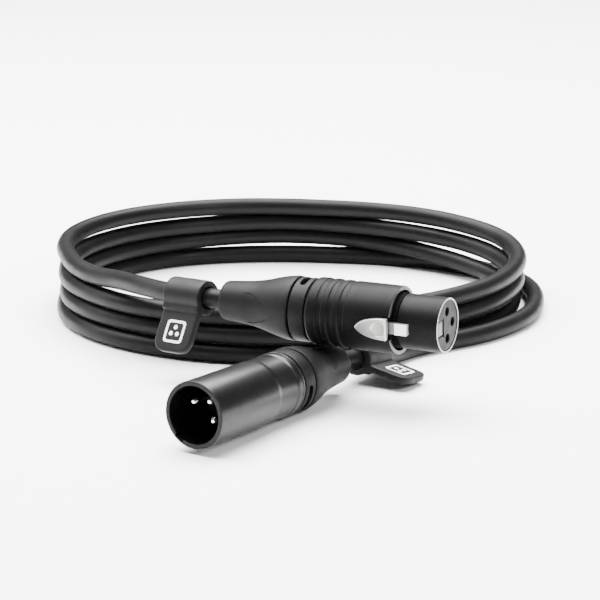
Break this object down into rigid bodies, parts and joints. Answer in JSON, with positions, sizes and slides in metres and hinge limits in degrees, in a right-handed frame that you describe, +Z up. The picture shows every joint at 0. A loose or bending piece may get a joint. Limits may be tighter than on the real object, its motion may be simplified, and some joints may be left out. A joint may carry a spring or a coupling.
{
  "type": "coiled microphone cable",
  "caption": "Coiled black microphone cable with a latching socket connector at one end, a pin connector at the other, screw-on boots and loop identification tags.",
  "frame": {"origin": "under the middle of the whole, on the surface that it lies on", "axes": "+Z up; the coil lies at +Y and both connectors lie in front of it at -Y; the socket connector's mouth faces +X and -Y"},
  "size_m": [0.1646, 0.2354, 0.0361],
  "materials": {
    "jacket": "satin black PVC",
    "black_shell": "satin black plating on die-cast zinc",
    "seal_rubber": "matte",
    "insert_grey": "matte",
    "insert_black": "matte",
    "contact_plate": "tin-plated",
    "pin_plate": "silver-plated, polished",
    "chuck_plastic": "matte",
    "bare_copper": "bare stranded copper",
    "core_red": "glossy insulation",
    "core_white": "glossy insulation",
    "latch_metal": "satin nickel plating",
    "spring_steel": "bright",
    "ring_plastic": "soft touch",
    "boot_rubber": "soft touch, dark grey",
    "gunmetal_shell": "dark nickel plating on die-cast zinc, satin",
    "tag_rubber": "matte"
  },
  "bodies": {
    "cable": {"coil_upper_turns": "jacket", "coil_bottom_turn": "jacket", "socket_lead": "jacket", "plug_lead": "jacket", "socket_shell": "black_shell", "socket_nose": "black_shell", "socket_seal_ring": "seal_rubber", "socket_insert": "insert_grey", "socket_contact_1": "contact_plate", "socket_contact_2": "contact_plate", "socket_contact_3": "contact_plate", "socket_ground_clip": "contact_plate", "socket_chuck": "chuck_plastic", "socket_drain_wire": "bare_copper", "socket_core_hot": "core_red", "socket_core_cold": "core_white", "latch_pivot_pin": "spring_steel", "latch_spring": "spring_steel", "plug_shell": "gunmetal_shell", "plug_insert": "insert_black", "plug_pin_1": "pin_plate", "plug_pin_2": "pin_plate", "plug_pin_3": "pin_plate", "plug_ground_clip": "contact_plate", "plug_chuck": "chuck_plastic", "plug_drain_wire": "bare_copper", "plug_core_hot": "core_red", "plug_core_cold": "core_white"},
    "latch": {"latch_lever": "latch_metal"},
    "socket_ring": {"socket_coding_ring": "ring_plastic"},
    "socket_screw_boot": {"socket_boot": "boot_rubber"},
    "plug_ring": {"plug_coding_ring": "ring_plastic"},
    "plug_screw_boot": {"plug_boot": "boot_rubber"},
    "socket_id_tag": {"socket_tag": "tag_rubber"},
    "plug_id_tag": {"plug_tag": "tag_rubber"}
  },
  "joints": [
    {"name": "latch_press", "type": "hinge", "parent": "cable", "child": "latch", "pos_m": [0.0142, -0.06746, 0.02565], "axis": [-0.0311, -0.043, 0.9986], "range_deg": [0, 4], "stiffness_Nm_per_rad": 0.3, "springref_deg": -1.72},
    {"name": "socket_ring_slide", "type": "slide", "parent": "cable", "child": "socket_ring", "axis": [-0.8953, 0.4454, -0.0087], "range_m": [0, 0.003]},
    {"name": "socket_boot_turn", "type": "hinge", "parent": "socket_ring", "child": "socket_screw_boot", "pos_m": [-0.01192, -0.04789, 0.02568], "axis": [-0.8953, 0.4454, -0.0087], "range_deg": [0, 720]},
    {"name": "plug_ring_slide", "type": "slide", "parent": "cable", "child": "plug_ring", "axis": [0.5487, 0.8354, -0.033], "range_m": [0, 0.003]},
    {"name": "plug_boot_turn", "type": "hinge", "parent": "plug_ring", "child": "plug_screw_boot", "pos_m": [0.00377, -0.06249, 0.0091], "axis": [0.5487, 0.8354, -0.033], "range_deg": [0, 720]},
    {"name": "socket_tag_swing", "type": "hinge", "parent": "cable", "child": "socket_id_tag", "pos_m": [-0.0331, -0.03646, 0.02525], "axis": [-0.8044, 0.5931, -0.0349], "range_deg": [-50, 80]},
    {"name": "plug_tag_swing", "type": "hinge", "parent": "cable", "child": "plug_id_tag", "pos_m": [0.0198, -0.03871, 0.0072], "axis": [0.544, 0.8314, -0.1132], "range_deg": [-100, 0]}
  ],
  "couplings": [
    {"joint": "socket_boot_turn", "follows": "socket_ring_slide", "rad_per_m": 4188.7},
    {"joint": "plug_boot_turn", "follows": "plug_ring_slide", "rad_per_m": 4188.7}
  ]
}
